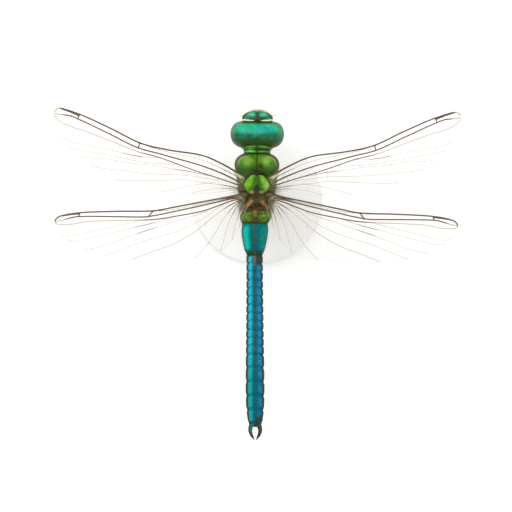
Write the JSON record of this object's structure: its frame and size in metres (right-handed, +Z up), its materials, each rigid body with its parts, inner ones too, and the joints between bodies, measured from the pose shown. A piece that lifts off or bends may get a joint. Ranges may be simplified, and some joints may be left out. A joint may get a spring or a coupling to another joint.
{
  "type": "dragonfly",
  "caption": "Life-size emperor dragonfly in level flight, wings spread and legs tucked under the chest, held by a rod above a flat display base.",
  "frame": {"origin": "centre of the bottom of the bounding box, level with the underside of the display base and 18.4 mm behind the middle of it", "axes": "+Z up, -Y towards the head, +X towards the insect's left wings"},
  "size_m": [0.0974, 0.08, 0.0363],
  "materials": {
    "eye": "compound eye, satin gloss, teal green with a darker rear",
    "head_shell": "satin cuticle, green and brown",
    "face_shell": "glossy cuticle, teal green edged with cream and brown",
    "mouth_shell": "satin cuticle, cream and pale olive",
    "thorax_shell": "satin cuticle, yellow green with brown seams",
    "front_ring_shell": "satin cuticle, teal with a brown mid line",
    "ring_shell": "satin cuticle, blue with a dark mid line",
    "clasper_shell": "satin cuticle, dark brown",
    "limb_shell": "satin cuticle, near black with red brown thighs",
    "wing_film": "clear film on a net of brown veins",
    "stand_enamel": "satin white enamel",
    "stand_steel": "polished steel rod"
  },
  "bodies": {
    "root": {"abdomen_ring_01": "front_ring_shell", "abdomen_ring_02": "front_ring_shell", "abdomen_ring_03": "ring_shell", "abdomen_ring_04": "ring_shell", "abdomen_ring_05": "ring_shell", "abdomen_ring_06": "ring_shell", "abdomen_ring_07": "ring_shell", "abdomen_ring_08": "ring_shell", "abdomen_ring_09": "ring_shell", "abdomen_ring_10": "ring_shell", "antenna_left": "limb_shell", "antenna_right": "limb_shell", "clasper_left": "clasper_shell", "clasper_lower": "clasper_shell", "clasper_right": "clasper_shell", "eye_left": "eye", "eye_right": "eye", "forewing_left": "wing_film", "forewing_right": "wing_film", "frons_and_clypeus": "face_shell", "head_capsule": "head_shell", "hindwing_left": "wing_film", "hindwing_right": "wing_film", "labium": "mouth_shell", "labrum": "mouth_shell", "leg_front_left": "limb_shell", "leg_front_right": "limb_shell", "leg_hind_left": "limb_shell", "leg_hind_right": "limb_shell", "leg_mid_left": "limb_shell", "leg_mid_right": "limb_shell", "mandible_left": "mouth_shell", "mandible_right": "mouth_shell", "prothorax": "thorax_shell", "stand_base": "stand_enamel", "stand_rod": "stand_steel", "thorax": "thorax_shell", "vertex": "head_shell"}
  },
  "joints": []
}
